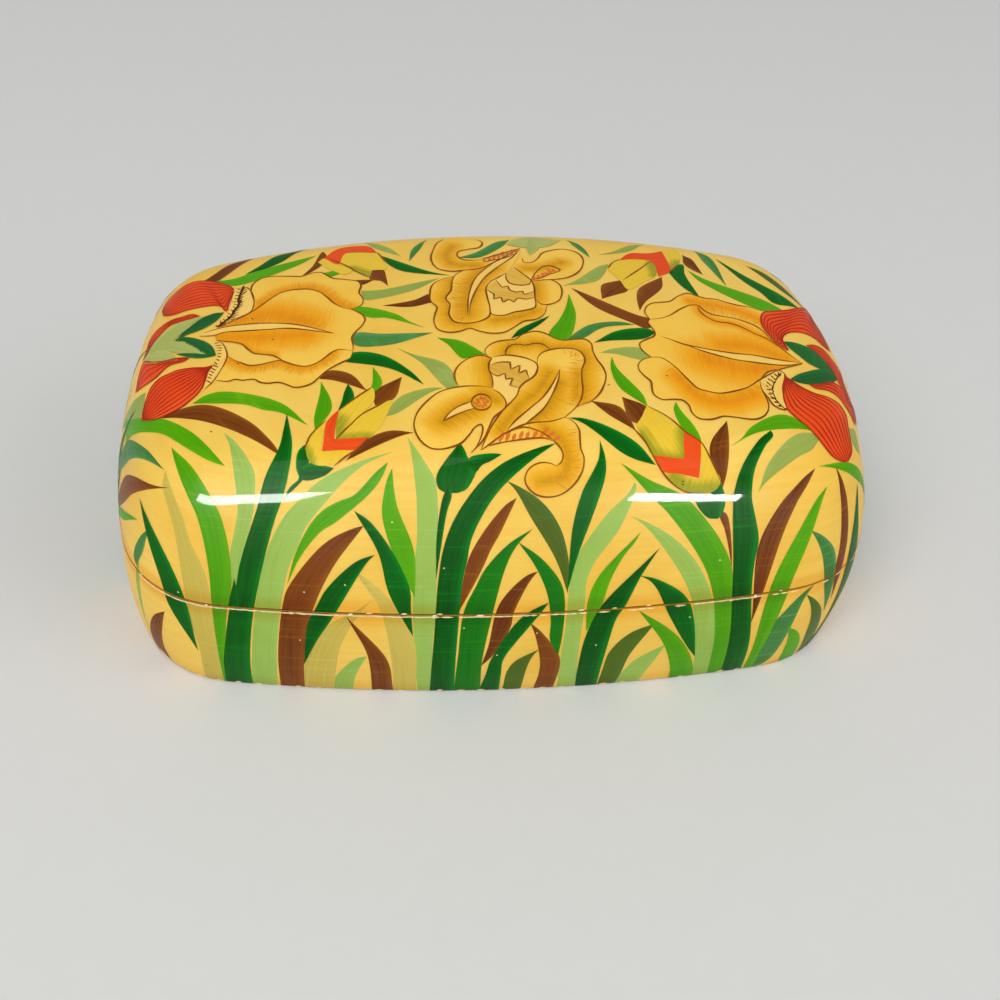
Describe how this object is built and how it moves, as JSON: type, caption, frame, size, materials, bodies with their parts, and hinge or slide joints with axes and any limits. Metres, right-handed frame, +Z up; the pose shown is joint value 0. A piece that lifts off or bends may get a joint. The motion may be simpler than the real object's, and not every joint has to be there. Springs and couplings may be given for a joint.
{
  "type": "lidded papier mache box",
  "caption": "Low domed box of moulded paper pulp with bowed walls, a lift-off lid located by an inner collar, for keeping small things in.",
  "frame": {"origin": "middle of the underside, on the surface the box stands on", "axes": "+X along the long side, +Z up, front towards -Y"},
  "size_m": [0.13, 0.081, 0.0485],
  "materials": {
    "pulp": "moulded paper pulp, painted dark inside",
    "collar_board": "pulp board strip, painted dark",
    "painted_ground": "gesso ground, painted and clear lacquered"
  },
  "bodies": {
    "base": {"base_core": "pulp", "base_ground_coat": "painted_ground", "collar": "collar_board"},
    "lid": {"lid_core": "pulp", "lid_ground_coat": "painted_ground"}
  },
  "joints": [
    {"name": "lid_lift", "type": "slide", "parent": "base", "child": "lid", "axis": [0, 0, 1], "range_m": [0, 0.08]}
  ]
}
